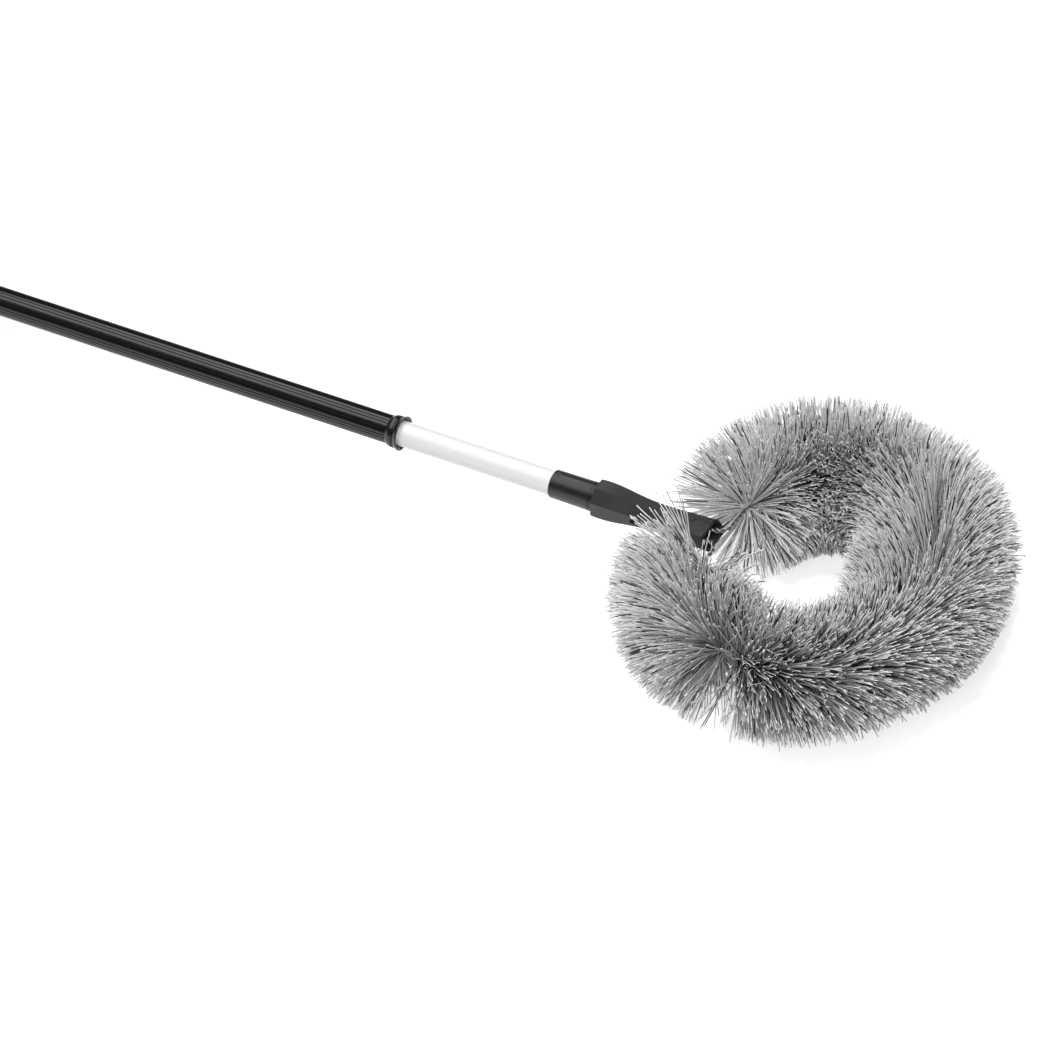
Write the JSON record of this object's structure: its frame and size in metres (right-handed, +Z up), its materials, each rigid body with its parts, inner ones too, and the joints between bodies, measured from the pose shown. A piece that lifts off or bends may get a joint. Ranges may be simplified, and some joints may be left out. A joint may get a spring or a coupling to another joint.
{
  "type": "cobweb brush",
  "caption": "Long-handled cobweb brush: a ring of grey bristles on a twisted wire loop, in a flat-mouthed socket on a telescopic pole.",
  "frame": {"origin": "on the floor under the middle of the brush as it lies at rest", "axes": "+X along the pole towards the ring, +Y across it, +Z up; the ring lies level on its lower bristles"},
  "size_m": [1.2323, 0.366, 0.1235],
  "materials": {
    "fluted_tube_black": "gloss black, fluted",
    "collar_black": "moulded, semi-gloss",
    "cap_black": "moulded, satin",
    "lock_nylon": "natural nylon, moulded",
    "tube_white": "white lacquer",
    "sleeve_satin_black": "moulded, satin",
    "socket_matt_black": "moulded, fine matt grain",
    "steel": "turned, bright",
    "wire_galvanised": "galvanised wire",
    "bristle_grey": "fine grey plastic filaments"
  },
  "bodies": {
    "outer_pole": {"outer_tube": "fluted_tube_black", "front_collar": "collar_black", "end_cap": "cap_black"},
    "lock_sleeve": {"lock_expander": "lock_nylon"},
    "lock_cone": {"cone_nut": "lock_nylon"},
    "inner_pole": {"inner_tube": "tube_white", "spigot_sleeve": "sleeve_satin_black", "sleeve_catch": "sleeve_satin_black", "lock_plug": "lock_nylon", "plug_pin": "steel", "lock_spindle": "steel", "stop_washer": "steel", "stop_nut": "steel"},
    "brush_head": {"head_socket": "socket_matt_black", "shank_screws": "steel", "core_wire_upper": "wire_galvanised", "core_wire_lower": "wire_galvanised", "bristle_tuft_01": "bristle_grey", "bristle_tuft_02": "bristle_grey", "bristle_tuft_03": "bristle_grey", "bristle_tuft_04": "bristle_grey", "bristle_tuft_05": "bristle_grey", "bristle_tuft_06": "bristle_grey", "bristle_tuft_07": "bristle_grey", "bristle_tuft_08": "bristle_grey", "bristle_tuft_09": "bristle_grey", "bristle_tuft_10": "bristle_grey", "bristle_tuft_11": "bristle_grey", "bristle_tuft_12": "bristle_grey"}
  },
  "joints": [
    {"name": "telescope_slide", "type": "slide", "parent": "outer_pole", "child": "lock_sleeve", "axis": [0.9988, 0, 0.049], "range_m": [-0.134, 0.34]},
    {"name": "pole_twist", "type": "hinge", "parent": "lock_sleeve", "child": "inner_pole", "pos_m": [0.37226, 0, 0.0615], "axis": [0.9988, 0, 0.049], "range_deg": [0, 180]},
    {"name": "cone_travel", "type": "slide", "parent": "lock_sleeve", "child": "lock_cone", "axis": [-0.9988, 0, -0.049], "range_m": [0, 0.0011]},
    {"name": "head_release", "type": "slide", "parent": "inner_pole", "child": "brush_head", "axis": [0.9988, 0, 0.049], "range_m": [0, 0.045]}
  ],
  "couplings": [
    {"joint": "cone_travel", "follows": "pole_twist", "m_per_rad": 0.00031831}
  ]
}
